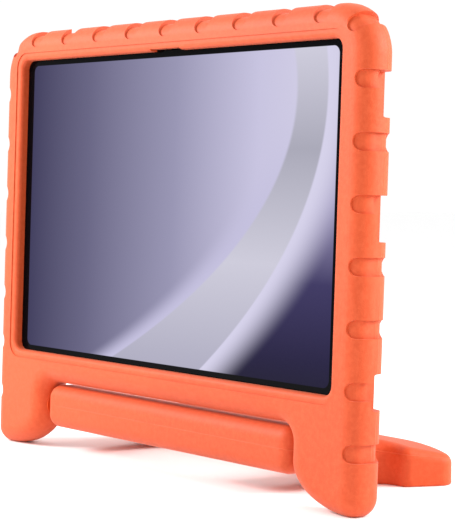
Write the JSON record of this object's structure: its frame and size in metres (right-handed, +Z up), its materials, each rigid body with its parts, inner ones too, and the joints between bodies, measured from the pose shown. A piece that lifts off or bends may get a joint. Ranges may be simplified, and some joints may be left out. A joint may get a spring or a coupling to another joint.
{
  "type": "tablet in a foam bumper case",
  "caption": "Eleven-inch tablet in a ribbed orange foam bumper case with rounded legs and a hinged loop handle that folds out as a stand.",
  "frame": {"origin": "centre of the footprint on the floor, under the case and its folded-out handle", "axes": "+X to the right seen from the screen side, +Y from the screen to the back, +Z up; the case leans back 2.35 degrees from +Z"},
  "size_m": [0.282, 0.1118, 0.2197],
  "materials": {
    "orange_foam": "matt moulded closed-cell foam",
    "orange_plastic": "moulded nylon, satin",
    "cover_glass": "polished, black printed border, picture showing through",
    "display_glass": "dark laminate",
    "white_plastic": "diffusing film",
    "bare_alloy": "die-cast, unpainted",
    "graphite_aluminium": "anodised, satin",
    "battery_pouch": "laminated foil pouch",
    "circuit_board": "solder mask",
    "black_plastic": "moulded",
    "bright_steel": "plated",
    "flex_ribbon": "polyimide film",
    "lens_glass": "coated"
  },
  "bodies": {
    "case": {"foam_case": "orange_foam", "hinge_bush_left": "orange_plastic", "hinge_bush_right": "orange_plastic", "cover_glass": "cover_glass", "display_cell": "display_glass", "backlight_unit": "white_plastic", "midframe": "bare_alloy", "rear_shell": "graphite_aluminium", "battery_left": "battery_pouch", "battery_right": "battery_pouch", "mainboard": "circuit_board", "processor": "black_plastic", "memory_chip": "black_plastic", "shield_cans": "bright_steel", "charge_board": "circuit_board", "usb_port": "bright_steel", "main_flex": "flex_ribbon", "display_flex": "flex_ribbon", "speaker_upper_left": "black_plastic", "speaker_upper_right": "black_plastic", "speaker_lower_left": "black_plastic", "speaker_lower_right": "black_plastic", "headphone_jack": "black_plastic", "front_camera": "black_plastic", "rear_camera": "black_plastic", "rear_camera_ring": "graphite_aluminium", "rear_camera_lens": "lens_glass", "key_bracket": "bright_steel", "key_flex": "flex_ribbon", "key_switches": "bright_steel", "card_reader": "bright_steel", "card_tray": "graphite_aluminium", "microphone": "bright_steel", "antenna_left": "flex_ribbon", "antenna_right": "flex_ribbon", "board_screws": "bright_steel"},
    "handle": {"handle": "orange_foam", "hinge_pin_left": "orange_plastic", "hinge_pin_right": "orange_plastic"},
    "power_key": {"power_key": "graphite_aluminium"},
    "volume_key": {"volume_key": "graphite_aluminium"}
  },
  "joints": [
    {"name": "handle_hinge", "type": "hinge", "parent": "case", "child": "handle", "pos_m": [0, -0.04308, 0.02302], "axis": [1, 0, 0], "range_deg": [-78, 40]},
    {"name": "power_key_press", "type": "slide", "parent": "case", "child": "power_key", "axis": [0, -0.041, -0.9992], "range_m": [0, 0.0003], "stiffness_N_per_m": 4000, "springref_m": -0.0002},
    {"name": "volume_key_rock", "type": "hinge", "parent": "case", "child": "volume_key", "pos_m": [-0.076, -0.03807, 0.20832], "axis": [0, 0.9992, -0.041], "range_deg": [-1.2, 1.2], "stiffness_Nm_per_rad": 0.2}
  ]
}
